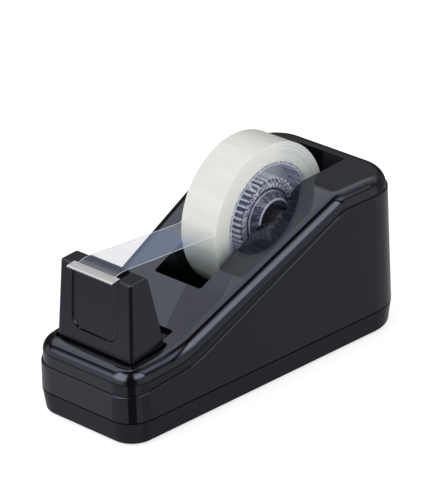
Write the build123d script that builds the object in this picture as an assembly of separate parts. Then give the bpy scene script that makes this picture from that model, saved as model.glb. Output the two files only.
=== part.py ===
from build123d import *
import os
from math import sin, cos, tan, radians, degrees, pi, atan2, hypot, sqrt

os.makedirs("parts", exist_ok=True)

# ---------------------------------------------------------------------------
# Desktop tape dispenser with a weighted base.
# Frame: +Z up, the blade end faces -Y, X runs across the body, x = 0 is the
# plane of symmetry.  z = 0 is the table.  Millimetres.
# ---------------------------------------------------------------------------

# overall plan at the seam line (a wedge: narrow front, wide rear)
LENGTH = 150.0
W_FRONT = 53.2
W_REAR = 75.8
R_FRONT = 11.0          # plan corner radii
R_REAR = 18.4
DRAFT = 1.0             # degrees, side walls lean in towards the top

# heights
PAD_T = 1.5             # foam pad thickness
TRAY_Z0 = 0.7           # lower rim of the base tray
SEAM_LO = 10.05         # tray outer edge
SEAM_HI = 10.55         # shell outer edge and rest height of the shell
TRAY_INSET = 1.25       # taper of the tray towards the table
TOP_FRONT_Z = 31.2      # top surface at the front
RAMP_Y0, RAMP_Z0 = -20.4, 42.7    # one point on the ramp
RAMP_SLOPE = 0.402
TOP_REAR_Z = 66.4
STEP_INSET = 0.7        # ledge line round the sides
STEP_FRONT_Z = 21.2
STEP_REAR_Z = 60.0
STEP_EDGE_R = 0.38      # softened edge of the ledge
SHOULDER_R = 6.0
WALL = 2.2

# roll well
WELL_X = 12.2
WELL_Y0, WELL_Y1 = -20.4, 65.0
WELL_FLOOR = 19.6
WELL_R = 1.2
WELL_WALL = 1.8

# reel
REEL_Y, REEL_Z = 23.4, 55.1
ROLL_R = 31.14
CORE_R = 23.4
CORE_WALL = 1.5
TAPE_W = 18.0
HUB_R = 13.1
HUB_HALF = 8.0
CONE_R0, CONE_R1, CONE_X = 11.3, 8.7, 11.7
AXLE_R = 5.0
AXLE_HALF = 16.3
RUN_CLEAR = 0.05
RECESS_X = 16.6         # outer end of the axle recess
RECESS_MOUTH_R = 9.1

# cutter tower
TW_TOP_HALF = 18.4
TW_BOT_HALF = 19.9
TW_BOT_Z = 27.0
TW_TOP_Z = 63.4
TW_CORNER_R = 1.3       # front vertical edges
TW_SOFT_R = 0.8         # rear and top edges
MOAT = 0.8
TW_REAR_Y = -54.7       # rear top edge
REST_Z = 64.62          # crest of the tape rest
REST_HALF = 9.9
BLADE_HALF = 11.95
BLADE_T = 0.32
BLADE_REAR_Y = -62.9
BEND_Y = -66.4          # slight fold between the flat part and the toothed lip
SEAT_Z0, SEAT_SLOPE = 63.34, 0.12
TIP_Y, TIP_Z = -67.6, 63.08
TOOTH_H = 0.95
TEETH = 17

# ---------------------------------------------------------------------------
# helpers
# ---------------------------------------------------------------------------

def rounded_wedge(inset, r_front, r_rear):
    """Plan outline as a face on z = 0: a trapezium with rounded corners."""
    lean = atan2((W_REAR - W_FRONT) / 2, LENGTH)
    d = inset / cos(lean)
    hf = W_FRONT / 2 - d + inset * tan(lean)
    hr = W_REAR / 2 - d - inset * tan(lean)
    y0, y1 = -LENGTH / 2 + inset, LENGTH / 2 - inset
    pts = [(hf, y0), (hr, y1), (-hr, y1), (-hf, y0)]
    sk = Polygon(*pts, align=None)
    vs = sk.vertices()
    front = [v for v in vs if v.Y < 0]
    rear = [v for v in vs if v.Y > 0]
    f = fillet(front, r_front)
    f = fillet([v for v in f.vertices() if abs(v.Y - y1) < 1e-6 and abs(abs(v.X) - hr) < 1e-6], r_rear)
    return f


def wedge_solid(inset, z0, z1, r_front, r_rear, taper=0.0):
    f = rounded_wedge(inset, r_front, r_rear)
    s = extrude(Pos(0, 0, z0) * f, amount=z1 - z0, taper=taper)
    return s


def yz_block(pts, half):
    """Solid from a YZ polygon, spread over |x| < half."""
    face = make_face(Polyline(*[(0, y, z) for y, z in pts], close=True))
    return extrude(face, amount=half, dir=(1, 0, 0), both=True)


def yz_under(p1, p2, r1, r2, ya, za, yb, zb, half=60.0, low=-5.0):
    """Solid under a three-run profile with two blended corners."""
    path = FilletPolyline((0, ya, za), (0, p1[0], p1[1]), (0, p2[0], p2[1]), (0, yb, zb), radius=[r1, r2])
    rest = Polyline((0, yb, zb), (0, yb, low), (0, ya, low), (0, ya, za))
    face = make_face([*path.edges(), *rest.edges()])
    return extrude(face, amount=half, dir=(1, 0, 0), both=True)


def box(x0, x1, y0, y1, z0, z1):
    return Pos((x0 + x1) / 2, (y0 + y1) / 2, (z0 + z1) / 2) * Box(x1 - x0, y1 - y0, z1 - z0)


def xcyl(r, x0, x1, y=REEL_Y, z=REEL_Z):
    return Pos((x0 + x1) / 2, y, z) * Rot(0, 90, 0) * Cylinder(r, x1 - x0)


def zcyl(r, x, y, z0, z1):
    return Pos(x, y, (z0 + z1) / 2) * Cylinder(r, z1 - z0)


def x_revolve(pts):
    """Solid of revolution about the reel axis; pts are (x, radius)."""
    face = make_face(Polyline(*[(x, 0, r) for x, r in pts], close=True))
    s = revolve(face, axis=Axis((0, 0, 0), (1, 0, 0)), revolution_arc=360)
    return Pos(0, REEL_Y, REEL_Z) * s


def one(shape):
    """The single solid of a result, or a compound of the separate solids."""
    sol = shape.solids()
    return sol[0] if len(sol) == 1 else Compound(children=list(sol))


def save(shape, name):
    export_step(shape, "parts/" + name + ".step")


# ---------------------------------------------------------------------------
# top profile and side ledge profile (YZ)
# ---------------------------------------------------------------------------
def ramp_z(y):
    return RAMP_Z0 + RAMP_SLOPE * (y - RAMP_Y0)


def top_under(drop=0.0, half=60.0):
    yb = RAMP_Y0 + (TOP_REAR_Z - RAMP_Z0) / RAMP_SLOPE
    # front run rises gently: z = TOP_FRONT_Z + 0.045 (y + 75)
    ya = (RAMP_Z0 - RAMP_SLOPE * RAMP_Y0 - TOP_FRONT_Z - 0.045 * 75) / (0.045 - RAMP_SLOPE)
    za = TOP_FRONT_Z + 0.045 * (ya + 75)
    return yz_under((ya, za - drop), (yb, TOP_REAR_Z - drop), 48.0, 16.0,
                    -85.0, TOP_FRONT_Z - 0.45 - drop, 85.0, TOP_REAR_Z - drop, half)


def step_under():
    s = 0.4465
    z_at = lambda y: 35.0 + s * (y + 17.9)
    yb = -17.9 + (STEP_REAR_Z - 35.0) / s
    ya = (35.0 + s * 17.9 - STEP_FRONT_Z - 0.10 * 75) / (0.10 - s)
    return yz_under((ya, z_at(ya)), (yb, STEP_REAR_Z), 42.0, 26.0,
                    -85.0, STEP_FRONT_Z - 1.0, 85.0, STEP_REAR_Z)


# ---------------------------------------------------------------------------
# top shell
# ---------------------------------------------------------------------------
Z_HI = 78.0
def rim_loop(solid):
    """The closed run of edges round the upward faces of a solid."""
    tops = [f for f in solid.faces() if f.normal_at(f.center()).Z > 0.5]
    found = []
    for f in tops:
        for e in f.outer_wire().edges():
            c = e.center()
            shared = sum(1 for g in tops for e2 in g.outer_wire().edges() if (e2.center() - c).length < 1e-4)
            if shared == 1:
                found.append(e)
    return found


lower_outer = one(wedge_solid(0.0, SEAM_HI, Z_HI, R_FRONT, R_REAR, DRAFT) & step_under())
lower_outer = one(fillet(rim_loop(lower_outer), STEP_EDGE_R))
upper_outer = wedge_solid(STEP_INSET, SEAM_HI, Z_HI, R_FRONT - STEP_INSET, R_REAR - STEP_INSET, DRAFT) & top_under()
upper_outer = one(upper_outer)

# rounded shoulder all the way round the top face
upper_outer = one(fillet(rim_loop(upper_outer), SHOULDER_R))
outer = one(lower_outer + upper_outer)
print("outer volume", outer.volume, "solids", len(outer.solids()))

# inner cavity, open at the bottom
cavity = wedge_solid(WALL + 0.4, SEAM_HI - 2, Z_HI, R_FRONT - WALL - 0.4, R_REAR - WALL - 0.4, DRAFT) & top_under(WALL + 2.4)
lower_band = box(-60, 60, -85, 85, -10, SEAM_HI)
cavity = cavity - lower_band
shell = outer - cavity

# roll well bucket
bucket = box(-WELL_X - WELL_WALL, WELL_X + WELL_WALL, WELL_Y0 - WELL_WALL, WELL_Y1 + WELL_WALL, WELL_FLOOR - WELL_WALL, Z_HI) & outer
# thickened cheeks that hold the axle recesses, from the well wall outwards
CHEEK_Z0 = REEL_Z - RECESS_MOUTH_R - 6
cheeks = (box(-RECESS_X - 2.2, -WELL_X, REEL_Y - 12.5, REEL_Y + 12.5, CHEEK_Z0, Z_HI)
          + box(WELL_X, RECESS_X + 2.2, REEL_Y - 12.5, REEL_Y + 12.5, CHEEK_Z0, Z_HI)) & outer
# bucket for the tower foot
POCK_X = TW_BOT_HALF + MOAT
POCK_Y0 = -66.9 - MOAT
POCK_Y1 = -48.0 + MOAT
POCK_FLOOR = TW_BOT_Z - 0.0
tow_bucket = box(-POCK_X - 1.6, POCK_X + 1.6, POCK_Y0 - 1.6, -38.6, POCK_FLOOR - 2.0, 45) & outer
# screw bosses of the shell
BOSS = [(-15.5, -61.0), (15.5, -61.0), (-24.5, 57.0), (24.5, 57.0)]
bosses = None
for bx, by in BOSS:
    top = POCK_FLOOR - 1.0 if by < 0 else TOP_REAR_Z - 3.0
    b = zcyl(3.6, bx, by, SEAM_HI, top)
    if by > 0:
        # gusset to the side wall
        g = box(min(bx, bx + (6.5 if bx > 0 else -6.5)), max(bx, bx + (6.5 if bx > 0 else -6.5)), by - 0.7, by + 0.7, SEAM_HI, top)
        b = b + g
    bosses = b if bosses is None else bosses + b
bosses = bosses & outer
shell = shell + bucket + cheeks + tow_bucket + bosses

# open the well
well = box(-WELL_X, WELL_X, WELL_Y0, WELL_Y1, WELL_FLOOR, Z_HI + 5)
well = fillet([e for e in well.edges().filter_by(Axis.Z)], WELL_R)
well = fillet([e for e in well.edges() if abs(e.center().Z - WELL_FLOOR) < 1e-3], 1.0)
shell = shell - well

# axle recesses: a U slot for the journal and a conical lead-in, open upwards
UR = AXLE_R + RUN_CLEAR
for sgn in (1, -1):
    u = xcyl(UR, min(sgn * (WELL_X - 1), sgn * RECESS_X), max(sgn * (WELL_X - 1), sgn * RECESS_X))
    u = u + box(min(sgn * (WELL_X - 1), sgn * RECESS_X), max(sgn * (WELL_X - 1), sgn * RECESS_X), REEL_Y - UR, REEL_Y + UR, REEL_Z, Z_HI)
    mouth_pts = [(WELL_X - 0.5, 0.0), (WELL_X - 0.5, RECESS_MOUTH_R + 0.3), (RECESS_X, UR), (RECESS_X, 0.0)]
    cone = x_revolve([(sgn * x, r) for x, r in mouth_pts])
    # the same cone carried upwards so that the mouth is open at the top
    tri = make_face(Polyline((sgn * (WELL_X - 0.5), REEL_Y - RECESS_MOUTH_R - 0.3, REEL_Z), (sgn * (WELL_X - 0.5), REEL_Y + RECESS_MOUTH_R + 0.3, REEL_Z),
                             (sgn * RECESS_X, REEL_Y + UR, REEL_Z), (sgn * RECESS_X, REEL_Y - UR, REEL_Z), close=True))
    lead = extrude(tri, amount=Z_HI - REEL_Z, dir=(0, 0, 1))
    shell = shell - u - cone - lead

# tower pocket with the shallow rear part behind the tower
pocket = box(-POCK_X, POCK_X, POCK_Y0, POCK_Y1, POCK_FLOOR, 60)
pocket = fillet(pocket.edges().filter_by(Axis.Z), 2.0)
rear_pocket = box(-16.8, 16.8, POCK_Y1 - 3, -40.6, 33.1, 60)
rear_pocket = fillet([e for e in rear_pocket.edges().filter_by(Axis.Z) if e.center().Y > -42], 1.2)
shell = shell - pocket - rear_pocket
# pilot holes
for bx, by in BOSS:
    shell = shell - zcyl(1.5, bx, by, SEAM_HI - 1, 24.4)
TSCREW = [(-9.0, -57.5), (9.0, -57.5)]
for bx, by in TSCREW:
    shell = shell - zcyl(1.7, bx, by, 10, POCK_FLOOR + 1)
shell = one(shell)
print("shell", shell.volume, len(shell.solids()), shell.bounding_box().min, shell.bounding_box().max)
save(shell, "top_shell")

# ---------------------------------------------------------------------------
# base tray
# ---------------------------------------------------------------------------
tray_taper = degrees(atan2(TRAY_INSET, SEAM_LO - TRAY_Z0))
tray_face = rounded_wedge(0.0, R_FRONT, R_REAR)
tray = extrude(Pos(0, 0, SEAM_LO) * tray_face, amount=-(SEAM_LO - TRAY_Z0), taper=tray_taper)
tray = one(tray)
if tray.bounding_box().min.Z > TRAY_Z0 + 0.01 or tray.bounding_box().max.Z < SEAM_LO - 0.01:
    print("tray extrude direction check", tray.bounding_box().min, tray.bounding_box().max)
bottom_edges = [e for e in tray.faces().sort_by(Axis.Z)[0].outer_wire().edges()]
tray = fillet(bottom_edges, 1.2)
# rim that carries the shell
rim = wedge_solid(1.0, SEAM_LO - 1.5, SEAM_HI, R_FRONT - 1.0, R_REAR - 1.0) - wedge_solid(2.6, SEAM_LO - 3, SEAM_HI + 1, R_FRONT - 2.6, R_REAR - 2.6)
tray = tray + rim
hollow = wedge_solid(WALL + 1.0, 3.5, SEAM_HI + 1, R_FRONT - WALL - 1.0, R_REAR - WALL - 1.0)
tray = tray - hollow
pad_room = wedge_solid(4.2, TRAY_Z0 - 1, PAD_T, R_FRONT - 4.2, R_REAR - 4.2)
tray = tray - pad_room
for bx, by in BOSS:
    tray = tray + zcyl(4.2, bx, by, 3.0, SEAM_HI)
for bx, by in BOSS:
    tray = tray - zcyl(1.7, bx, by, 0, SEAM_HI + 1) - zcyl(3.1, bx, by, 0, 6.5)
# two low walls that locate the weight
for wy in (-48.6, 52.6):
    tray = tray + box(-14, 14, wy - 0.8, wy + 0.8, 3.0, 8.5)
tray = one(tray)
print("tray", tray.volume, len(tray.solids()), tray.bounding_box().min, tray.bounding_box().max)
save(tray, "base_tray")

# foam pad under the tray
pad = wedge_solid(4.5, 0.0, PAD_T, R_FRONT - 4.5, R_REAR - 4.5)
save(one(pad), "non_slip_pad")

# weight block inside the base
bal_face = make_face(Polyline((17.5, -47.8), (25.5, 50.0), (18.5, 51.8), (-18.5, 51.8), (-25.5, 50.0), (-17.5, -47.8), close=True))
ballast = extrude(Pos(0, 0, 3.5) * bal_face, amount=13.3)
ballast = chamfer(ballast.edges().filter_by(Axis.Z), 1.0)
save(one(ballast), "ballast_block")

# ---------------------------------------------------------------------------
# screws: pan head, one node for each set of identical ones
# ---------------------------------------------------------------------------
def screw(x, y, z_head, length, r_shank=1.45, r_head=2.8, h_head=1.9):
    """Screw pointing up; z_head is the seat under the head."""
    s = zcyl(r_shank, x, y, z_head, z_head + length - 1.6)
    tip = Pos(x, y, z_head + length - 0.8) * Cone(r_shank, 0.5, 1.6)
    head = zcyl(r_head, x, y, z_head - h_head, z_head)
    head = fillet([e for e in head.edges() if abs(e.center().Z - (z_head - h_head)) < 1e-3], 1.0)
    slot = Pos(x, y, z_head - h_head + 0.5) * (Box(3.0, 0.7, 1.2) + Box(0.7, 3.0, 1.2))
    return one((s + tip + head) - slot)


base_screws = Compound(children=[screw(bx, by, 6.5, 16.0) for bx, by in BOSS])
save(base_screws, "base_screws")
tower_screws = Compound(children=[screw(bx, by, POCK_FLOOR - 2.0, 11.0) for bx, by in TSCREW])
save(tower_screws, "tower_screws")

# ---------------------------------------------------------------------------
# cutter tower
# ---------------------------------------------------------------------------
# side outline
TY = [(-66.9, TW_BOT_Z), (-64.0, TW_TOP_Z), (TW_REAR_Y, TW_TOP_Z + 0.15), (-48.9, 36.0), (-48.2, TW_BOT_Z)]
side = yz_block(TY, 40)
side = fillet([e for e in side.edges().filter_by(Axis.X) if abs(e.center().Y - TW_REAR_Y) < 0.2], 1.6)
# front outline, leaning sides
fr = make_face(Polyline((-TW_BOT_HALF, -90, TW_BOT_Z), (TW_BOT_HALF, -90, TW_BOT_Z), (TW_TOP_HALF, -90, TW_TOP_Z + 2), (-TW_TOP_HALF, -90, TW_TOP_Z + 2), close=True))
front = extrude(fr, amount=80, dir=(0, 1, 0))
tower = one(side & front)
# front corners well rounded, rear and top edges softened
front_v = [e for e in tower.edges() if abs(e.center().X) > 15 and e.bounding_box().size.Z > 15 and e.center().Y < -60]
tower = fillet(front_v, TW_CORNER_R)
soft = []
for e in tower.edges():
    c = e.center()
    rear_side = abs(c.X) > 15 and c.Y > -56.5 and c.Z > 30
    top_rim = c.Z > TW_TOP_Z - 1.0 and not (abs(c.X) < 1 and c.Y > -60)
    if rear_side or top_rim:
        soft.append(e)
tower = one(fillet(soft, TW_SOFT_R))
# arched tape rest on top, with a shallow seat for the blade in its front part
SEAT = lambda y: SEAT_Z0 + SEAT_SLOPE * (y - BEND_Y)       # underside of the blade
rest = yz_block([(-64.6, TW_TOP_Z - 1.5), (-64.6, SEAT(-64.6)), (BLADE_REAR_Y + 0.05, SEAT(BLADE_REAR_Y + 0.05)), (BLADE_REAR_Y + 0.05, REST_Z - 0.60),
                 (-60.9, REST_Z - 0.17), (-59.3, REST_Z), (-57.6, REST_Z), (-56.2, REST_Z - 0.18), (-55.3, REST_Z - 0.65), (-55.3, TW_TOP_Z - 1.5)], REST_HALF)
tower = tower + rest
# framed recess in the front face: bottom corners rounded, open to the blade
lean = atan2(66.9 - 64.0, TW_TOP_Z - TW_BOT_Z)      # front face lean
rec_face = RectangleRounded(24.0, 60.0, 5.0)
# work in the plane of the front face
pl = Plane(origin=(0, -66.9, TW_BOT_Z), x_dir=(1, 0, 0), z_dir=(0, -cos(lean), sin(lean)))
rec = extrude(pl * Pos(0, 10.5 + 30.0) * rec_face, amount=-0.65, taper=28)
cap = box(-30, 30, -70, -50, TW_TOP_Z - 1.4, 90)
rec = rec - cap
tower = tower - rec
# hollow from below with two screw bosses
inner = yz_block([(-64.6, TW_BOT_Z - 1), (-61.9, TW_TOP_Z - 2.6), (-57.6, TW_TOP_Z - 2.6), (-51.3, 36.0), (-50.4, TW_BOT_Z - 1)], 16.6)
tower = tower - inner
for bx, by in TSCREW:
    post = (zcyl(3.0, bx, by, TW_BOT_Z, 44.0) + box(bx - 0.6, bx + 0.6, -65.0, by, TW_BOT_Z, 44.0)) & yz_block([(-65.2, TW_BOT_Z), (-62.5, TW_TOP_Z - 1), (-56.5, TW_TOP_Z - 1), (-50.0, 36.0), (-49.4, TW_BOT_Z)], 18)
    tower = tower + post
    tower = tower - zcyl(1.5, bx, by, TW_BOT_Z - 1, 37.5)
tower = one(tower)
print("tower", tower.volume, len(tower.solids()), tower.bounding_box().min, tower.bounding_box().max)
save(tower, "cutter_tower")

# ---------------------------------------------------------------------------
# blade: flat strip sloping forwards on its seat, its toothed lip turned down
# ---------------------------------------------------------------------------
run = hypot(TIP_Y - BEND_Y, TIP_Z - SEAT_Z0)
lift = atan2(TIP_Z - SEAT_Z0, BEND_Y - TIP_Y)
out_y, out_z = sin(lift), cos(lift)                       # outward normal of the lip
bend = [(BEND_Y + BLADE_T * cos(a), SEAT_Z0 + BLADE_T * sin(a)) for a in [pi / 2 - lift * k / 6 for k in (5, 4, 3, 2, 1)]]
profile = [(BLADE_REAR_Y, SEAT(BLADE_REAR_Y)), (BEND_Y, SEAT_Z0), (TIP_Y, TIP_Z), (TIP_Y + BLADE_T * out_y, TIP_Z + BLADE_T * out_z),
           (BEND_Y + BLADE_T * out_y, SEAT_Z0 + BLADE_T * out_z)] + bend + [(BEND_Y, SEAT_Z0 + BLADE_T), (BLADE_REAR_Y, SEAT(BLADE_REAR_Y) + BLADE_T)]
blade = yz_block(profile, BLADE_HALF)
# saw cut along the lip's edge, square to the lip
pitch = 2 * BLADE_HALF / TEETH
tip = run - 0.03
pts = [(-BLADE_HALF - pitch / 2, -tip)]
for i in range(TEETH):
    x0 = -BLADE_HALF + i * pitch
    pts.append((x0, -(tip - TOOTH_H)))
    pts.append((x0 + pitch / 2, -tip))
pts += [(BLADE_HALF, -(tip - TOOTH_H)), (BLADE_HALF + pitch / 2, -tip), (BLADE_HALF + pitch / 2, -(run + 1)), (-BLADE_HALF - pitch / 2, -(run + 1))]
lip_plane = Plane(origin=(0, BEND_Y - 0.5 * out_y, SEAT_Z0 - 0.5 * out_z), x_dir=(1, 0, 0), z_dir=(0, out_y, out_z))
saw = extrude(lip_plane * make_face(Polyline(*pts, close=True)), amount=BLADE_T + 1.0)
blade = one(blade - saw)
print("blade", blade.volume, len(blade.solids()), blade.bounding_box().min, blade.bounding_box().max)
save(blade, "cutter_blade")

# ---------------------------------------------------------------------------
# reel: axle, hub, tape core, wound tape
# ---------------------------------------------------------------------------
# axle: stout middle, shouldered journals that lie in the U slots
SHAFT_R = 6.0
axle = x_revolve([(-AXLE_HALF, 0.0), (-AXLE_HALF, AXLE_R - 0.5), (-AXLE_HALF + 0.5, AXLE_R), (-12.0, AXLE_R), (-12.0, SHAFT_R),
                  (12.0, SHAFT_R), (12.0, AXLE_R), (AXLE_HALF - 0.5, AXLE_R), (AXLE_HALF, AXLE_R - 0.5), (AXLE_HALF, 0.0)])
# shallow centre recess in both ends
for sgn in (1, -1):
    axle = axle - xcyl(2.6, min(sgn * (AXLE_HALF - 1.2), sgn * (AXLE_HALF + 1)), max(sgn * (AXLE_HALF - 1.2), sgn * (AXLE_HALF + 1)))
save(one(axle), "axle")

# hub: clear wheel, conical ends, open faces stiffened by ribs
BORE_R = SHAFT_R + RUN_CLEAR
hub = x_revolve([(-CONE_X, BORE_R), (-CONE_X, CONE_R1), (-HUB_HALF - 0.2, CONE_R0), (-HUB_HALF, CONE_R0), (-HUB_HALF, HUB_R),
                 (HUB_HALF, HUB_R), (HUB_HALF, CONE_R0), (HUB_HALF + 0.2, CONE_R0), (CONE_X, CONE_R1), (CONE_X, BORE_R)])
# ring groove in both faces of the hub, its outer wall stiffened by axial ribs
for sgn in (1, -1):
    hub = hub - x_revolve([(sgn * 1.6, CONE_R0), (sgn * 1.6, 12.5), (sgn * (HUB_HALF + 1), 12.5), (sgn * (HUB_HALF + 1), CONE_R0)])
# open mouth at the small end of each cone
for sgn in (1, -1):
    hub = hub - xcyl(CONE_R1 - 0.6, min(sgn * 9.0, sgn * 13.0), max(sgn * 9.0, sgn * 13.0))
NGRIP = 30
grips = []
for k in range(NGRIP):
    for sgn in (1, -1):
        grips.append(Pos(0, REEL_Y, REEL_Z) * Rot(360.0 * k / NGRIP, 0, 0) * Pos(sgn * 4.6, 0, 12.35) * Box(6.4, 0.5, 0.7))
hub = hub + grips
hub = one(hub)
print("hub", hub.volume, len(hub.solids()))
save(hub, "spool_hub")

# tape core: outer ring, web, inner ring with axial ribs
CI = HUB_R + 0.05
core = x_revolve([(-8.9, CORE_R - CORE_WALL), (-8.9, CORE_R), (8.9, CORE_R), (8.9, CORE_R - CORE_WALL), (0.7, CORE_R - CORE_WALL), (0.7, 15.0), (8.1, 15.0), (8.1, CI),
                  (-8.1, CI), (-8.1, 15.0), (-0.7, 15.0), (-0.7, CORE_R - CORE_WALL)])
NRIB = 40
rib = Pos(0, 0, 15.55) * Box(16.2, 0.85, 1.5)
ribs = None
for k in range(NRIB):
    r = Pos(0, REEL_Y, REEL_Z) * Rot(360.0 * k / NRIB, 0, 0) * rib
    ribs = [r] if ribs is None else ribs + [r]
core = core + ribs
# three thin radial vanes on both sides of the web
vanes = []
for k in range(3):
    vanes.append(Pos(0, REEL_Y, REEL_Z) * Rot(120.0 * k + 26.5, 0, 0) * Pos(0, 0, 18.9) * Box(13.0, 0.9, 6.4))
core = core + vanes
core = one(core)
print("core", core.volume, len(core.solids()))
save(core, "tape_core")

roll = x_revolve([(-TAPE_W / 2, CORE_R + 0.02), (-TAPE_W / 2, ROLL_R), (TAPE_W / 2, ROLL_R), (TAPE_W / 2, CORE_R + 0.02)])
save(one(roll), "tape_roll")

# free end of the tape: off the front of the roll, over the tape rest, onto the blade
ST = 0.12
BLADE_TOP = lambda y: SEAT(y) + BLADE_T
STRIP = [(-64.4, BLADE_TOP(-64.4) + 0.04), (BLADE_REAR_Y, BLADE_TOP(BLADE_REAR_Y) + 0.06), (-60.9, REST_Z - 0.10), (-59.3, REST_Z + 0.05), (-57.6, REST_Z + 0.05),
         (REEL_Y - ROLL_R - 0.12, 59.75)]
top_line = [(y, z + ST) for y, z in STRIP]
strip = yz_block(STRIP + top_line[::-1], TAPE_W / 2)
strip = one(strip)
print("strip", strip.volume, len(strip.solids()), strip.bounding_box().min, strip.bounding_box().max)
save(strip, "tape_strip")
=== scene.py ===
import math
import random

import bmesh
import bpy
import numpy as np
from mathutils import Matrix, Vector


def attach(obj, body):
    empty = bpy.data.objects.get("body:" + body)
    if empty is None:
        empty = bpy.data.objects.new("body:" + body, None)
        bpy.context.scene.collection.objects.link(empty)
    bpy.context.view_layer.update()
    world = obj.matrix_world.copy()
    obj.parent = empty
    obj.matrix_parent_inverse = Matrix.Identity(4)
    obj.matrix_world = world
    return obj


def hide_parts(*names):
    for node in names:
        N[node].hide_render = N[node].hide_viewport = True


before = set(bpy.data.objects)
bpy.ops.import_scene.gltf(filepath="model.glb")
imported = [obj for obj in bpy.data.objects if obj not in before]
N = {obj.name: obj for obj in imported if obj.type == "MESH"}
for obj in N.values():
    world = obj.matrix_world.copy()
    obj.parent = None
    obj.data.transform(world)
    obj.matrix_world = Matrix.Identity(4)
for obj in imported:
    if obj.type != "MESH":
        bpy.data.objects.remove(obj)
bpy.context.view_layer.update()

bpy.context.scene.view_settings.view_transform = "Standard"
bpy.context.scene.view_settings.look = "None"
bpy.context.scene.view_settings.exposure = 0.0

# ---------------------------------------------------------------------------
# camera
# ---------------------------------------------------------------------------
AZ, EL, ROLL = math.radians(43.470), math.radians(26.699), math.radians(-1.886)
FOCAL_PX = 3563.1
cam_data = bpy.data.cameras.new("camera")
cam = bpy.data.objects.new("camera", cam_data)
bpy.context.scene.collection.objects.link(cam)
back = Vector((math.sin(AZ) * math.cos(EL), -math.cos(AZ) * math.cos(EL), math.sin(EL)))
right = Vector((math.cos(AZ), math.sin(AZ), 0))
up = back.cross(right)
c, s = math.cos(ROLL), math.sin(ROLL)
right, up = c * right + s * up, c * up - s * right
m = Matrix((right, up, back)).transposed().to_4x4()
m.translation = Vector((0.85021, -0.89060, 0.67038))
cam.matrix_world = m
cam_data.sensor_width = 36.0
cam_data.lens = FOCAL_PX * 36.0 / 483.0
cam_data.clip_start, cam_data.clip_end = 0.05, 60.0
bpy.context.scene.camera = cam


# ---------------------------------------------------------------------------
# node helpers
# ---------------------------------------------------------------------------
def new_tree(name):
    mat = bpy.data.materials.new(name)
    mat.use_nodes = True
    nt = mat.node_tree
    nt.nodes.clear()
    return mat, nt


def add(nt, kind, **props):
    n = nt.nodes.new(kind)
    for k, v in props.items():
        setattr(n, k, v)
    return n


def val(nt, op, a, b=None, clamp=False):
    n = nt.nodes.new("ShaderNodeMath")
    n.operation = op
    n.use_clamp = clamp
    for i, x in enumerate((a, b)):
        if x is None:
            continue
        if isinstance(x, (int, float)):
            n.inputs[i].default_value = x
        else:
            nt.links.new(x, n.inputs[i])
    return n.outputs[0]


def ramp01(nt, x, a, b, lo=0.0, hi=1.0, kind="SMOOTHSTEP"):
    n = nt.nodes.new("ShaderNodeMapRange")
    n.interpolation_type = kind
    nt.links.new(x, n.inputs[0])
    n.inputs[1].default_value = a
    n.inputs[2].default_value = b
    n.inputs[3].default_value = lo
    n.inputs[4].default_value = hi
    return n.outputs[0]


def principled(nt, **vals):
    p = nt.nodes.new("ShaderNodeBsdfPrincipled")
    for k, v in vals.items():
        p.inputs[k.replace("_", " ")].default_value = v
    return p


def out(nt, shader):
    o = nt.nodes.new("ShaderNodeOutputMaterial")
    nt.links.new(shader, o.inputs["Surface"])
    return o


def noise(nt, vec, scale, detail=3.0, rough=0.5, dim="3D"):
    n = nt.nodes.new("ShaderNodeTexNoise")
    n.noise_dimensions = dim
    n.inputs["Scale"].default_value = scale
    n.inputs["Detail"].default_value = detail
    n.inputs["Roughness"].default_value = rough
    if vec is not None:
        nt.links.new(vec, n.inputs["Vector"])
    return n


def bump(nt, height, strength, distance, normal=None):
    b = nt.nodes.new("ShaderNodeBump")
    b.inputs["Strength"].default_value = strength
    b.inputs["Distance"].default_value = distance
    nt.links.new(height, b.inputs["Height"])
    if normal is not None:
        nt.links.new(normal, b.inputs["Normal"])
    return b.outputs["Normal"]


def mixcol(nt, fac, a, b, mode="MIX"):
    n = nt.nodes.new("ShaderNodeMix")
    n.data_type = "RGBA"
    n.blend_type = mode
    for i, x in ((0, fac), (6, a), (7, b)):
        if isinstance(x, (tuple, list)):
            n.inputs[i].default_value = (*x[:3], 1.0)
        elif isinstance(x, (int, float)):
            n.inputs[i].default_value = x
        else:
            nt.links.new(x, n.inputs[i])
    return n.outputs[2]


def set_mat(obj, mat):
    obj.data.materials.clear()
    obj.data.materials.append(mat)


def smooth(obj, degrees):
    """Smooth shading with sharp edges kept above an angle."""
    me = obj.data
    me.polygons.foreach_set("use_smooth", [True] * len(me.polygons))
    bm = bmesh.new()
    bm.from_mesh(me)
    lim = math.radians(degrees)
    for e in bm.edges:
        if len(e.link_faces) == 2:
            e.smooth = e.calc_face_angle(0.0) < lim
    bm.to_mesh(me)
    bm.free()


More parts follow.
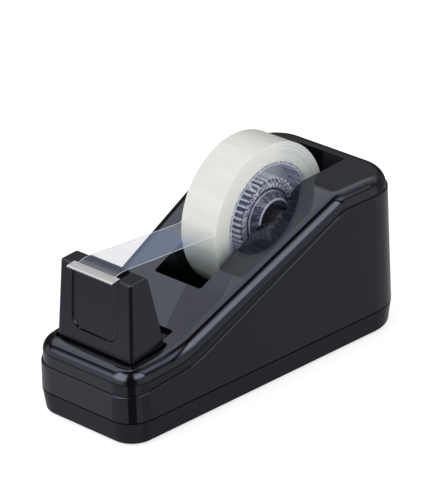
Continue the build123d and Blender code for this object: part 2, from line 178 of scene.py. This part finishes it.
# ---------------------------------------------------------------------------
# materials
# ---------------------------------------------------------------------------
def black_plastic(name, rough=0.07, spec=1.0, peel=0.02, recess=False):
    mat, nt = new_tree(name)
    tc = nt.nodes.new("ShaderNodeTexCoord").outputs["Object"]
    p = principled(nt, Base_Color=(0.0035, 0.0036, 0.0042, 1), IOR=1.5, Specular_IOR_Level=spec)
    p.inputs["Specular Tint"].default_value = (0.745, 0.785, 1.0, 1)
    n1 = noise(nt, tc, 26.0, 4.0, 0.6)
    r = ramp01(nt, n1.outputs["Fac"], 0.3, 0.75, rough - 0.012, rough + 0.022, "LINEAR")
    nt.links.new(r, p.inputs["Roughness"])
    n2 = noise(nt, tc, 900.0, 2.0, 0.5)
    n3 = noise(nt, tc, 90.0, 2.0, 0.5)
    h = val(nt, "ADD", val(nt, "MULTIPLY", n2.outputs["Fac"], 0.35), n3.outputs["Fac"])
    nt.links.new(bump(nt, h, peel, 0.0004), p.inputs["Normal"])
    if recess:
        # thin shadow line along the edge of the recess in the front face
        sp = nt.nodes.new("ShaderNodeSeparateXYZ")
        nt.links.new(tc, sp.inputs[0])
        qx = val(nt, "SUBTRACT", val(nt, "ABSOLUTE", sp.outputs[0]), 0.0120 - 0.0050)
        qz = val(nt, "SUBTRACT", 0.0375 + 0.0050, sp.outputs[2])
        cx, cz = val(nt, "MAXIMUM", qx, 0.0), val(nt, "MAXIMUM", qz, 0.0)
        away = val(nt, "SQRT", val(nt, "ADD", val(nt, "MULTIPLY", cx, cx), val(nt, "MULTIPLY", cz, cz)))
        away = val(nt, "ABSOLUTE", val(nt, "SUBTRACT", away, 0.0050))
        line = ramp01(nt, away, 0.00008, 0.00024, 0.12, 1.0)
        front = ramp01(nt, sp.outputs[1], -0.0600, -0.0590, 0.0, 1.0, "LINEAR")
        line = val(nt, "MAXIMUM", line, front)
        below = ramp01(nt, sp.outputs[2], 0.0630, 0.0634, 0.0, 1.0, "LINEAR")
        line = val(nt, "MAXIMUM", line, below)
        nt.links.new(val(nt, "MULTIPLY", line, spec), p.inputs["Specular IOR Level"])
    c1 = noise(nt, tc, 12.0, 3.0, 0.5)
    nt.links.new(mixcol(nt, c1.outputs["Fac"], (0.0030, 0.0031, 0.0036), (0.0044, 0.0045, 0.0052)), p.inputs["Base Color"])
    out(nt, p.outputs[0])
    return mat


def foam(name):
    mat, nt = new_tree(name)
    tc = nt.nodes.new("ShaderNodeTexCoord").outputs["Object"]
    p = principled(nt, Roughness=0.92, Specular_IOR_Level=0.25)
    v = nt.nodes.new("ShaderNodeTexVoronoi")
    v.inputs["Scale"].default_value = 1400.0
    nt.links.new(tc, v.inputs["Vector"])
    n1 = noise(nt, tc, 300.0, 5.0, 0.65)
    nt.links.new(mixcol(nt, n1.outputs["Fac"], (0.012, 0.012, 0.012), (0.045, 0.045, 0.047)), p.inputs["Base Color"])
    nt.links.new(bump(nt, v.outputs["Distance"], 0.7, 0.0004), p.inputs["Normal"])
    out(nt, p.outputs[0])
    return mat


def iron(name):
    mat, nt = new_tree(name)
    tc = nt.nodes.new("ShaderNodeTexCoord").outputs["Object"]
    p = principled(nt, Metallic=0.9)
    n1 = noise(nt, tc, 160.0, 6.0, 0.65)
    nt.links.new(mixcol(nt, n1.outputs["Fac"], (0.05, 0.048, 0.046), (0.20, 0.19, 0.18)), p.inputs["Base Color"])
    nt.links.new(ramp01(nt, n1.outputs["Fac"], 0.3, 0.7, 0.55, 0.8, "LINEAR"), p.inputs["Roughness"])
    nt.links.new(bump(nt, n1.outputs["Fac"], 0.5, 0.0006), p.inputs["Normal"])
    out(nt, p.outputs[0])
    return mat


def zinc(name):
    mat, nt = new_tree(name)
    tc = nt.nodes.new("ShaderNodeTexCoord").outputs["Object"]
    p = principled(nt, Metallic=1.0)
    n1 = noise(nt, tc, 420.0, 4.0, 0.6)
    nt.links.new(mixcol(nt, n1.outputs["Fac"], (0.42, 0.43, 0.45), (0.68, 0.68, 0.67)), p.inputs["Base Color"])
    nt.links.new(ramp01(nt, n1.outputs["Fac"], 0.3, 0.7, 0.24, 0.42, "LINEAR"), p.inputs["Roughness"])
    nt.links.new(bump(nt, n1.outputs["Fac"], 0.15, 0.0002), p.inputs["Normal"])
    out(nt, p.outputs[0])
    return mat


def rolled_steel(name):
    """Bright strip with fine rolling lines across the blade."""
    mat, nt = new_tree(name)
    tc = nt.nodes.new("ShaderNodeTexCoord").outputs["Object"]
    mp = nt.nodes.new("ShaderNodeMapping")
    mp.inputs["Scale"].default_value = (1.0, 60.0, 60.0)
    nt.links.new(tc, mp.inputs["Vector"])
    n1 = noise(nt, mp.outputs[0], 90.0, 4.0, 0.6)
    p = principled(nt, Metallic=1.0)
    sp = nt.nodes.new("ShaderNodeSeparateXYZ")
    nt.links.new(tc, sp.inputs[0])
    ground = ramp01(nt, sp.outputs[1], -0.06675, -0.06640, 1.0, 0.0)
    grey = mixcol(nt, n1.outputs["Fac"], (0.70, 0.70, 0.69), (0.90, 0.90, 0.89))
    nt.links.new(mixcol(nt, ground, grey, (0.99, 0.99, 0.99)), p.inputs["Base Color"])
    rough = ramp01(nt, n1.outputs["Fac"], 0.3, 0.7, 0.22, 0.38, "LINEAR")
    nt.links.new(val(nt, "SUBTRACT", rough, val(nt, "MULTIPLY", ground, 0.06)), p.inputs["Roughness"])
    nt.links.new(bump(nt, n1.outputs["Fac"], 0.08, 0.0001), p.inputs["Normal"])
    out(nt, p.outputs[0])
    return mat


def dark_matte(name):
    mat, nt = new_tree(name)
    tc = nt.nodes.new("ShaderNodeTexCoord").outputs["Object"]
    p = principled(nt, Specular_IOR_Level=0.4)
    n1 = noise(nt, tc, 200.0, 4.0, 0.6)
    nt.links.new(mixcol(nt, n1.outputs["Fac"], (0.010, 0.010, 0.012), (0.022, 0.022, 0.026)), p.inputs["Base Color"])
    nt.links.new(ramp01(nt, n1.outputs["Fac"], 0.3, 0.7, 0.3, 0.45, "LINEAR"), p.inputs["Roughness"])
    nt.links.new(bump(nt, n1.outputs["Fac"], 0.1, 0.0002), p.inputs["Normal"])
    out(nt, p.outputs[0])
    return mat


REEL = Vector((0.0, 0.0234, 0.0551))


def let_light_on(nt, shader, share, tint):
    """The piece takes only part of the light that falls on what lies behind it."""
    lp = nt.nodes.new("ShaderNodeLightPath")
    tr = nt.nodes.new("ShaderNodeBsdfTransparent")
    tr.inputs["Color"].default_value = (*tint, 1)
    mx = nt.nodes.new("ShaderNodeMixShader")
    nt.links.new(val(nt, "MULTIPLY", lp.outputs["Is Shadow Ray"], share), mx.inputs[0])
    nt.links.new(shader, mx.inputs[1])
    nt.links.new(tr.outputs[0], mx.inputs[2])
    return mx.outputs[0]


def reel_coords(nt):
    """Radius, angle and distance from the middle plane, about the reel's axis."""
    tc = nt.nodes.new("ShaderNodeTexCoord").outputs["Object"]
    sub = add(nt, "ShaderNodeVectorMath", operation="SUBTRACT")
    nt.links.new(tc, sub.inputs[0])
    sub.inputs[1].default_value = REEL
    sp = nt.nodes.new("ShaderNodeSeparateXYZ")
    nt.links.new(sub.outputs[0], sp.inputs[0])
    x, y, z = sp.outputs
    r = val(nt, "SQRT", val(nt, "ADD", val(nt, "MULTIPLY", y, y), val(nt, "MULTIPLY", z, z)))
    ang = val(nt, "ARCTAN2", z, y)
    return tc, x, r, ang


def streaks(nt, x, r, ang, along, around, radial=0.0, detail=3.0):
    """Noise drawn out along the reel's axis: it varies the roughness and places painted glints and painted shade on a
    clear moulding.
    """
    cb = nt.nodes.new("ShaderNodeCombineXYZ")
    nt.links.new(val(nt, "MULTIPLY", x, along), cb.inputs[0])
    nt.links.new(val(nt, "MULTIPLY", val(nt, "COSINE", ang), around), cb.inputs[1])
    nt.links.new(val(nt, "ADD", val(nt, "MULTIPLY", val(nt, "SINE", ang), around), val(nt, "MULTIPLY", r, radial)), cb.inputs[2])
    return noise(nt, cb.outputs[0], 1.0, detail, 0.6)


def clear_moulding(name, core):
    """Clear moulding with painted light: painted highlights on the edges and ribs, painted blue-grey shade between
    them.
    """
    mat, nt = new_tree(name)
    tc, x, r, ang = reel_coords(nt)
    ax = val(nt, "ABSOLUTE", x)
    # a painted highlight colour and a painted shade colour
    highlight_white, shade_deep = (0.96, 0.97, 1.0), (0.060, 0.070, 0.120)
    # painted glints: streaks where the colour is painted brighter
    st = streaks(nt, x, r, ang, 90.0, 26.0, 900.0)
    glint = ramp01(nt, st.outputs["Fac"], 0.45, 0.57, 0.0, 1.0)
    if core:
        web = mixcol(nt, noise(nt, tc, 180.0, 3.0, 0.5).outputs["Fac"], (0.62, 0.66, 0.70), (0.92, 0.96, 0.96))
        # painted shade between the ribs, broken by painted glints
        col = mixcol(nt, glint, shade_deep, (0.22, 0.24, 0.33))
        # ribs: painted shade at the root, painted highlight at the crest
        col = mixcol(nt, ramp01(nt, r, 0.01520, 0.01585, 0, 1), col, highlight_white)
        col = mixcol(nt, ramp01(nt, r, 0.01640, 0.01650, 0, 1, "LINEAR"), col, web)
        # end face of the inner ring: painted shade broken by painted glints
        col = mixcol(nt, val(nt, "MULTIPLY", ramp01(nt, ax, 0.00800, 0.00806, 0, 1, "LINEAR"), ramp01(nt, r, 0.01640, 0.01650, 1, 0, "LINEAR")), col, mixcol(nt, glint, (0.15, 0.17, 0.26), (0.84, 0.86, 0.98)))
        # outer ring: painted glints, and a painted highlight line on both its edges
        ring = mixcol(nt, glint, (0.30, 0.33, 0.46), (0.74, 0.77, 0.90))
        edge = val(nt, "ADD", ramp01(nt, r, 0.02200, 0.02225, 1, 0, "LINEAR"), ramp01(nt, r, 0.02300, 0.02325, 0, 1, "LINEAR"), True)
        edge = val(nt, "MULTIPLY", edge, ramp01(nt, ax, 0.0086, 0.0088, 0, 1, "LINEAR"))
        ring = mixcol(nt, edge, ring, highlight_white)
        col = mixcol(nt, ramp01(nt, r, 0.02170, 0.02180, 0, 1, "LINEAR"), col, ring)
    else:
        # cone: dark, with painted glints
        cone = mixcol(nt, glint, (0.03, 0.034, 0.06), (0.15, 0.165, 0.235))
        # painted highlight lines at both ends of the cone
        lines = val(nt, "ADD", ramp01(nt, ax, 0.01120, 0.01145, 0, 1, "LINEAR"), ramp01(nt, val(nt, "ABSOLUTE", val(nt, "SUBTRACT", ax, 0.00815)), 0.00020, 0.00045, 1, 0, "LINEAR"), True)
        col = mixcol(nt, lines, cone, (0.52, 0.54, 0.66))
        # inside of the mouth: painted shade, broken by painted glints
        col = mixcol(nt, ramp01(nt, r, 0.00812, 0.00830, 1, 0, "LINEAR"), col, mixcol(nt, glint, (0.05, 0.055, 0.085), (0.25, 0.27, 0.36)))
        # groove between cone and outer wall: painted shade, broken by painted glints
        gr = val(nt, "MULTIPLY", ramp01(nt, ax, 0.0074, 0.0079, 1, 0, "LINEAR"), ramp01(nt, r, 0.01255, 0.01262, 1, 0, "LINEAR"))
        col = mixcol(nt, gr, col, mixcol(nt, glint, shade_deep, (0.34, 0.36, 0.47)))
        # outer wall and its grips, with painted glints
        col = mixcol(nt, ramp01(nt, r, 0.01255, 0.01265, 0, 1, "LINEAR"), col, mixcol(nt, glint, (0.20, 0.22, 0.31), (0.80, 0.82, 0.93)))
    # painted shade: darker and bluer below the reel's axis
    lower = val(nt, "MULTIPLY", r, val(nt, "SINE", ang))
    col = mixcol(nt, ramp01(nt, lower, -0.014, 0.004, 0.62, 0.0), col, (0.32, 0.35, 0.46), "MULTIPLY")
    p = principled(nt, IOR=1.5, Transmission_Weight=0.12, Specular_IOR_Level=0.9)
    nt.links.new(col, p.inputs["Base Color"])
    nt.links.new(ramp01(nt, st.outputs["Fac"], 0.3, 0.7, 0.05, 0.14, "LINEAR"), p.inputs["Roughness"])
    n2 = noise(nt, tc, 700.0, 2.0, 0.5)
    nt.links.new(bump(nt, n2.outputs["Fac"], 0.12, 0.0003), p.inputs["Normal"])
    out(nt, let_light_on(nt, p.outputs[0], 0.93, (0.95, 0.97, 1.0)))
    return mat


def sector(nt, ang, centre, lo, hi):
    """1 near an angle about the reel's axis, 0 away from it (lo, hi: cosines)."""
    return ramp01(nt, val(nt, "COSINE", val(nt, "SUBTRACT", ang, math.radians(centre))), lo, hi, 0.0, 1.0)


def wound_tape(name):
    """Milky wound film: fine rings on the ends, faint bands on the outside."""
    mat, nt = new_tree(name)
    tc, x, r, ang = reel_coords(nt)
    # winding: the radius where a layer lies drifts by one layer each turn
    rw = val(nt, "ADD", r, val(nt, "MULTIPLY", ang, 0.00006 / (2 * math.pi)))
    rings = noise(nt, None, 1.0, 3.0, 0.6, "1D")
    nt.links.new(val(nt, "MULTIPLY", rw, 4200.0), rings.inputs["W"])
    coarse = noise(nt, None, 1.0, 2.0, 0.5, "1D")
    nt.links.new(val(nt, "MULTIPLY", rw, 1500.0), coarse.inputs["W"])
    mixr = val(nt, "ADD", val(nt, "MULTIPLY", rings.outputs["Fac"], 0.6), val(nt, "MULTIPLY", coarse.outputs["Fac"], 0.4))
    # painted shade: two sectors painted cooler and darker, at 48° for the dark lines between layers seen there, at
    # 226° for the shaded lower part
    cool_shade = val(nt, "ADD", sector(nt, ang, 48.0, 0.80, 0.97), val(nt, "MULTIPLY", sector(nt, ang, 226.0, 0.55, 0.90), 0.9), True)
    warm = mixcol(nt, ramp01(nt, mixr, 0.30, 0.62, 0, 1, "LINEAR"), (0.86, 0.875, 0.79), (0.94, 0.945, 0.89))
    shaded_rings = mixcol(nt, ramp01(nt, mixr, 0.38, 0.60, 0, 1, "LINEAR"), (0.56, 0.65, 0.65), (0.90, 0.94, 0.91))
    base = mixcol(nt, val(nt, "MULTIPLY", cool_shade, 0.8), warm, shaded_rings)
    # painted shade: the lower front of the ends multiplied darker
    base = mixcol(nt, sector(nt, ang, 222.0, 0.72, 0.95), base, (0.48, 0.56, 0.57), "MULTIPLY")
    # outside: broad faint bands across the width
    cb = nt.nodes.new("ShaderNodeCombineXYZ")
    nt.links.new(val(nt, "MULTIPLY", x, 14.0), cb.inputs[0])
    nt.links.new(val(nt, "MULTIPLY", val(nt, "COSINE", ang), 3.4), cb.inputs[1])
    nt.links.new(val(nt, "MULTIPLY", val(nt, "SINE", ang), 3.4), cb.inputs[2])
    band = noise(nt, cb.outputs[0], 1.0, 4.0, 0.6)
    outside = mixcol(nt, ramp01(nt, band.outputs["Fac"], 0.36, 0.62, 0, 1), (0.735, 0.745, 0.705), (0.82, 0.82, 0.775))
    # painted shade: the lower front of the outside darker and bluer
    low_shade = sector(nt, ang, 216.0, 0.70, 0.93)
    outside = mixcol(nt, val(nt, "MULTIPLY", low_shade, 0.75), outside, mixcol(nt, ramp01(nt, band.outputs["Fac"], 0.4, 0.6, 0, 1), (0.40, 0.49, 0.51), (0.54, 0.62, 0.63)))
    base = mixcol(nt, ramp01(nt, r, 0.03108, 0.03112, 0, 1, "LINEAR"), base, outside)
    p = principled(nt, IOR=1.46, Specular_IOR_Level=0.45, Subsurface_Weight=0.2, Subsurface_Scale=0.0015)
    p.inputs["Subsurface Radius"].default_value = (1.0, 1.0, 0.9)
    nt.links.new(base, p.inputs["Base Color"])
    nt.links.new(ramp01(nt, mixr, 0.3, 0.7, 0.26, 0.42, "LINEAR"), p.inputs["Roughness"])
    nt.links.new(bump(nt, mixr, 0.22, 0.0002), p.inputs["Normal"])
    out(nt, let_light_on(nt, p.outputs[0], 0.90, (0.94, 0.96, 0.95)))
    return mat


def free_film(name):
    """Thin film: most light goes straight through, some is scattered to both sides."""
    mat, nt = new_tree(name)
    tc = nt.nodes.new("ShaderNodeTexCoord").outputs["Object"]
    sp = nt.nodes.new("ShaderNodeSeparateXYZ")
    nt.links.new(tc, sp.inputs[0])
    mp = nt.nodes.new("ShaderNodeMapping")
    mp.inputs["Scale"].default_value = (1.0, 0.18, 1.0)
    nt.links.new(tc, mp.inputs["Vector"])
    n1 = noise(nt, mp.outputs[0], 260.0, 3.0, 0.55)
    # painted highlight: the two cut edges are painted whiter and scatter more light
    half = ramp01(nt, sp.outputs[1], -0.008, -0.056, 0.0090, 0.00972, "LINEAR")
    rim_highlight = ramp01(nt, val(nt, "SUBTRACT", half, val(nt, "ABSOLUTE", sp.outputs[0])), 0.00012, 0.00036, 1.0, 0.0)
    tr = nt.nodes.new("ShaderNodeBsdfTransparent")
    df = nt.nodes.new("ShaderNodeBsdfDiffuse")
    tl = nt.nodes.new("ShaderNodeBsdfTranslucent")
    col = mixcol(nt, n1.outputs["Fac"], (0.42, 0.57, 0.90), (0.54, 0.70, 1.0))
    # painted light: near the roll the film is painted paler, standing in for light the bright roll throws on it
    meet = ramp01(nt, sp.outputs[1], -0.020, -0.0115, 0.0, 1.0)
    col = mixcol(nt, meet, col, (0.84, 0.90, 0.90))
    nt.links.new(mixcol(nt, meet, (1.0, 0.980, 0.958), (1.0, 1.0, 1.0)), tr.inputs["Color"])
    col = mixcol(nt, rim_highlight, col, (0.97, 0.98, 1.0))
    nt.links.new(col, df.inputs["Color"])
    nt.links.new(col, tl.inputs["Color"])
    gl = nt.nodes.new("ShaderNodeBsdfGlossy")
    gl.inputs["Roughness"].default_value = 0.16
    gl.inputs["Color"].default_value = (0.9, 0.93, 1.0, 1)
    m1 = nt.nodes.new("ShaderNodeMixShader")
    m1.inputs[0].default_value = 0.28
    nt.links.new(df.outputs[0], m1.inputs[1])
    nt.links.new(tl.outputs[0], m1.inputs[2])
    m2 = nt.nodes.new("ShaderNodeMixShader")
    share = val(nt, "SUBTRACT", 0.165, val(nt, "MULTIPLY", meet, 0.085))
    # painted shade: less scattered light where it lies flat on the tape rest, in the rest's shadow
    flat = ramp01(nt, sp.outputs[1], -0.0576, -0.0560, 1.0, 0.0)
    share = val(nt, "SUBTRACT", share, val(nt, "MULTIPLY", flat, 0.110))
    nt.links.new(val(nt, "ADD", val(nt, "MULTIPLY", rim_highlight, 0.72), share), m2.inputs[0])
    nt.links.new(tr.outputs[0], m2.inputs[1])
    nt.links.new(m1.outputs[0], m2.inputs[2])
    m3 = nt.nodes.new("ShaderNodeMixShader")
    m3.inputs[0].default_value = 0.045
    nt.links.new(m2.outputs[0], m3.inputs[1])
    nt.links.new(gl.outputs[0], m3.inputs[2])
    out(nt, m3.outputs[0])
    return mat


set_mat(N["top_shell"], black_plastic("shell_black"))
set_mat(N["base_tray"], black_plastic("tray_black", rough=0.10, spec=0.95))
set_mat(N["cutter_tower"], black_plastic("tower_black", rough=0.08, spec=1.0, recess=True))
set_mat(N["non_slip_pad"], foam("pad_foam"))
set_mat(N["ballast_block"], iron("ballast_iron"))
set_mat(N["base_screws"], zinc("base_screw_steel"))
set_mat(N["tower_screws"], zinc("tower_screw_steel"))
set_mat(N["cutter_blade"], rolled_steel("blade_steel"))
set_mat(N["axle"], dark_matte("axle_dark"))
set_mat(N["spool_hub"], clear_moulding("hub_clear", False))
set_mat(N["tape_core"], clear_moulding("core_clear", True))
set_mat(N["tape_roll"], wound_tape("tape_wound"))
set_mat(N["tape_strip"], free_film("tape_strip_film"))
for key_name, n in N.items():
    smooth(n, 14 if key_name in ("tape_core", "spool_hub") else 28)


# ---------------------------------------------------------------------------
# free end of the tape: a thin sheet over the tape rest, bent up where it leaves the roll
# ---------------------------------------------------------------------------
def sheet(name, path, half_at, thick, rows=12):
    """Closed thin sheet: path is (y, z) along its middle in metres, half_at(i, n) its half width."""
    n = len(path)
    normals = []
    for i in range(n):
        a = Vector(path[max(i - 1, 0)])
        b = Vector(path[min(i + 1, n - 1)])
        t = (b - a).normalized()
        normals.append(Vector((-t.y, t.x)))
    bm = bmesh.new()
    grid = {}
    for side in (0, 1):
        for i, (y, z) in enumerate(path):
            off = normals[i] * (thick / 2 * (1 if side else -1))
            h = half_at(i, n)
            for j in range(rows + 1):
                x = -h + 2 * h * j / rows
                grid[side, i, j] = bm.verts.new((x, y + off.x, z + off.y))
    for i in range(n - 1):
        for j in range(rows):
            bm.faces.new((grid[1, i, j], grid[1, i, j + 1], grid[1, i + 1, j + 1], grid[1, i + 1, j]))
            bm.faces.new((grid[0, i, j], grid[0, i + 1, j], grid[0, i + 1, j + 1], grid[0, i, j + 1]))
    for i in range(n - 1):
        bm.faces.new((grid[0, i, 0], grid[1, i, 0], grid[1, i + 1, 0], grid[0, i + 1, 0]))
        bm.faces.new((grid[0, i, rows], grid[0, i + 1, rows], grid[1, i + 1, rows], grid[1, i, rows]))
    for j in range(rows):
        bm.faces.new((grid[0, 0, j], grid[0, 0, j + 1], grid[1, 0, j + 1], grid[1, 0, j]))
        bm.faces.new((grid[0, n - 1, j], grid[1, n - 1, j], grid[1, n - 1, j + 1], grid[0, n - 1, j + 1]))
    bmesh.ops.recalc_face_normals(bm, faces=bm.faces)
    me = bpy.data.meshes.new(name)
    bm.to_mesh(me)
    bm.free()
    o = bpy.data.objects.new(name, me)
    bpy.context.scene.collection.objects.link(o)
    return o


FILM_T = 0.00008
MM = 0.001
film_path = []
key = [(-64.3, 64.02), (-62.9, 64.22), (-61.8, 64.46), (-60.6, 64.66), (-59.3, 64.76), (-57.6, 64.76), (-56.6, 64.68)]
for (y0, z0), (y1, z1) in zip(key, key[1:]):
    for k in range(3):
        f = k / 3
        film_path.append(((y0 + (y1 - y0) * f) * MM, (z0 + (z1 - z0) * f) * MM))
ROLL_R = 31.14
peel = math.radians(171.3)
py, pz = 23.4 + (ROLL_R + 0.05) * math.cos(peel), 55.1 + (ROLL_R + 0.05) * math.sin(peel)
BR = 0.9
# the last millimetres turn upwards into the roll surface
ry, rz = math.cos(peel), math.sin(peel)
ty, tz = math.sin(peel), -math.cos(peel)
start = (-56.6, 64.68)
end = (py + ry * BR, pz + rz * BR * 0.2)
for k in range(0, 41):
    f = k / 40
    film_path.append(((start[0] + (end[0] - start[0]) * f) * MM, (start[1] + (end[1] - start[1]) * f - 0.10 * math.sin(math.pi * f)) * MM))
cy, cz = end[0], end[1] + BR
for k in range(1, 9):
    a = math.radians(-90 + 82 * k / 8)
    film_path.append(((cy + BR * math.cos(a)) * MM, (cz + BR * math.sin(a)) * MM))
nf = len(film_path)


def film_half(i, n):
    y = film_path[i][0] / MM
    f = min(1.0, max(0.0, (-8.0 - y) / 48.0))
    return (9.0 + 0.72 * f) * MM


film = sheet("tape_film", film_path, film_half, FILM_T)
smooth(film, 35)
set_mat(film, free_film("tape_free"))
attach(film, "axle_carrier")
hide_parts("tape_strip")

# ---------------------------------------------------------------------------
# stage: pale floor and a soft studio surround
# ---------------------------------------------------------------------------
me = bpy.data.meshes.new("floor")
F = 6.0
me.from_pydata([(-F, -F, 0), (F, -F, 0), (F, F, 0), (-F, F, 0)], [], [(0, 1, 2, 3)])
floor = bpy.data.objects.new("floor", me)
bpy.context.scene.collection.objects.link(floor)
floor.location.z = -0.0002
mat, nt = new_tree("floor_pale")
p = principled(nt, Roughness=0.9, Specular_IOR_Level=0.0)
p.inputs["Base Color"].default_value = (0.60, 0.60, 0.60, 1)
p.inputs["Emission Color"].default_value = (1, 1, 1, 1)
p.inputs["Emission Strength"].default_value = 0.70
out(nt, p.outputs[0])
me.materials.append(mat)
floor.visible_glossy = False

K = 0.5         # overall level of the surround
world = bpy.data.worlds.new("surround")
bpy.context.scene.world = world
world.use_nodes = True
wt = world.node_tree
wt.nodes.clear()
geo = wt.nodes.new("ShaderNodeTexCoord").outputs["Generated"]
sep = wt.nodes.new("ShaderNodeSeparateXYZ")
wt.links.new(geo, sep.inputs[0])
dx, dy, dz = sep.outputs
el_out = val(wt, "MULTIPLY", val(wt, "ARCSINE", dz), 180 / math.pi)


def rel_az(a0):
    """Degrees of azimuth away from a0, as a size."""
    a = math.radians(a0)
    cx = (math.sin(a), -math.cos(a))
    along = val(wt, "ADD", val(wt, "MULTIPLY", dx, cx[0]), val(wt, "MULTIPLY", dy, cx[1]))
    across = val(wt, "SUBTRACT", val(wt, "MULTIPLY", dx, cx[1]), val(wt, "MULTIPLY", dy, cx[0]))
    return val(wt, "MULTIPLY", val(wt, "ABSOLUTE", val(wt, "ARCTAN2", across, along)), 180 / math.pi)


def patch(a0, half, soft_a, e0, e1, soft_lo, soft_hi, level):
    a = ramp01(wt, rel_az(a0), half - soft_a, half + soft_a, 1.0, 0.0)
    lo = ramp01(wt, el_out, e0 - soft_lo, e0 + soft_lo, 0.0, 1.0)
    hi = ramp01(wt, el_out, e1 - soft_hi, e1 + soft_hi, 1.0, 0.0)
    return val(wt, "MULTIPLY", val(wt, "MULTIPLY", a, lo), val(wt, "MULTIPLY", hi, level))


total = None
for q in (
    (-11, 31, 10, 16, 60, 9, 9, 5.6),       # left softbox
    (-30, 45, 12, -14, 20, 8, 8, 1.2),      # its spill below
    (88, 26, 8, 27, 60, 9, 12, 5.0),        # right softbox
    (125, 16, 12, 36, 62, 9, 10, 2.4),      # its far end
    (105, 34, 8, -16, 24, 4, 8, 0.80),      # below the right softbox
    (160, 32, 10, -30, 60, 4, 14, 0.20),    # back right
    (-110, 60, 16, 38, 100, 8, 8, 2.15),    # top, behind
    (-142, 22, 9, 16, 34, 6, 6, 0.36),      # low, behind
    (178, 20, 9, 28, 60, 8, 10, 0.9),       # high, behind right
    (-90, 50, 14, -30, -12, 4, 6, 0.4),
):
    v = patch(*q)
    total = v if total is None else val(wt, "ADD", total, v)
floor_level = ramp01(wt, el_out, -60.0, -22.0, 0.2, 0.62, "LINEAR")
floor_mask = ramp01(wt, el_out, -24.0, -18.0, 1.0, 0.0)
floor_side = ramp01(wt, rel_az(132), 34.0, 58.0, 0.62, 1.0)       # less light from the floor behind the right side
floor_level = val(wt, "MULTIPLY", floor_level, floor_side)
total = val(wt, "ADD", total, val(wt, "MULTIPLY", floor_level, floor_mask))
total = val(wt, "ADD", total, 0.10)
# dark opening on the camera's side
slot = ramp01(wt, rel_az(45), 14.0, 20.0, 1.0, 0.0)
slot = val(wt, "MULTIPLY", slot, ramp01(wt, el_out, 28.0, 34.0, 1.0, 0.0))
slot = val(wt, "MULTIPLY", slot, ramp01(wt, el_out, -34.0, -28.0, 0.0, 1.0))
total = val(wt, "MULTIPLY", total, val(wt, "SUBTRACT", 1.0, val(wt, "MULTIPLY", slot, 0.93)))
# dark seam over the top
dotn = wt.nodes.new("ShaderNodeVectorMath")
dotn.operation = "DOT_PRODUCT"
wt.links.new(geo, dotn.inputs[0])
dotn.inputs[1].default_value = (-0.515, 0.853, 0.086)
seam = ramp01(wt, val(wt, "ABSOLUTE", dotn.outputs["Value"]), 0.035, 0.075, 0.06, 1.0)
above = ramp01(wt, el_out, 15.0, 25.0, 0.0, 1.0)
seam = val(wt, "ADD", val(wt, "MULTIPLY", seam, above), val(wt, "SUBTRACT", 1.0, above))
total = val(wt, "MULTIPLY", total, seam)
bg = wt.nodes.new("ShaderNodeBackground")
bg.inputs["Color"].default_value = (1, 1, 1, 1)
wt.links.new(val(wt, "MULTIPLY", total, K), bg.inputs["Strength"])
wo = wt.nodes.new("ShaderNodeOutputWorld")
wt.links.new(bg.outputs[0], wo.inputs["Surface"])
